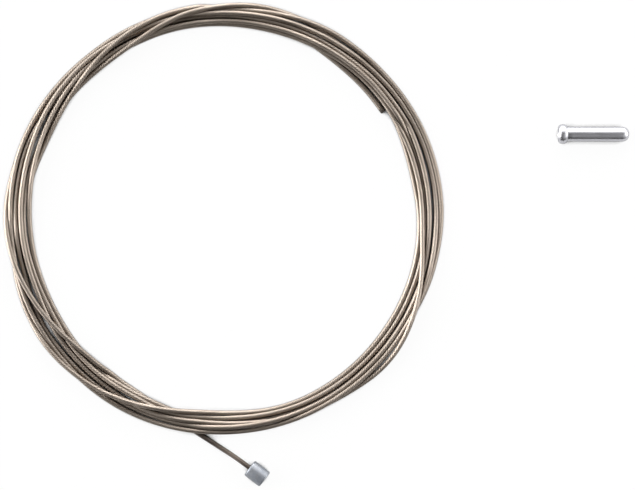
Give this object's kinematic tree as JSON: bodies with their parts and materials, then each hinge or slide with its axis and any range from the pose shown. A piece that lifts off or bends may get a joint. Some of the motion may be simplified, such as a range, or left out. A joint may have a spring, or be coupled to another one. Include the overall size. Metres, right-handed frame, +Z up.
{
  "type": "bicycle gear cable",
  "caption": "Inner gear cable of stranded stainless steel, coiled flat for storage, with a cast barrel nipple at one end and a loose crimp-on end cap.",
  "frame": {"origin": "on the table, under the middle of the bounding box of the coil, the nipple and the end cap", "axes": "+Z up, with the coil lying flat; +X from the coil towards the end cap; +Y from the nipple's side of the coil towards the opposite side"},
  "size_m": [0.1516, 0.118, 0.0048],
  "materials": {
    "steel_strand": "drawn stainless wire, stranded, with a warm grey sheen",
    "cast_zinc": "die-cast zinc, matt and faintly blue-grey",
    "bright_aluminium": "drawn and polished"
  },
  "bodies": {
    "root": {"cable_coil": "steel_strand", "cable_lead": "steel_strand", "cable_tail": "steel_strand", "nipple": "cast_zinc", "end_cap": "bright_aluminium"}
  },
  "joints": []
}
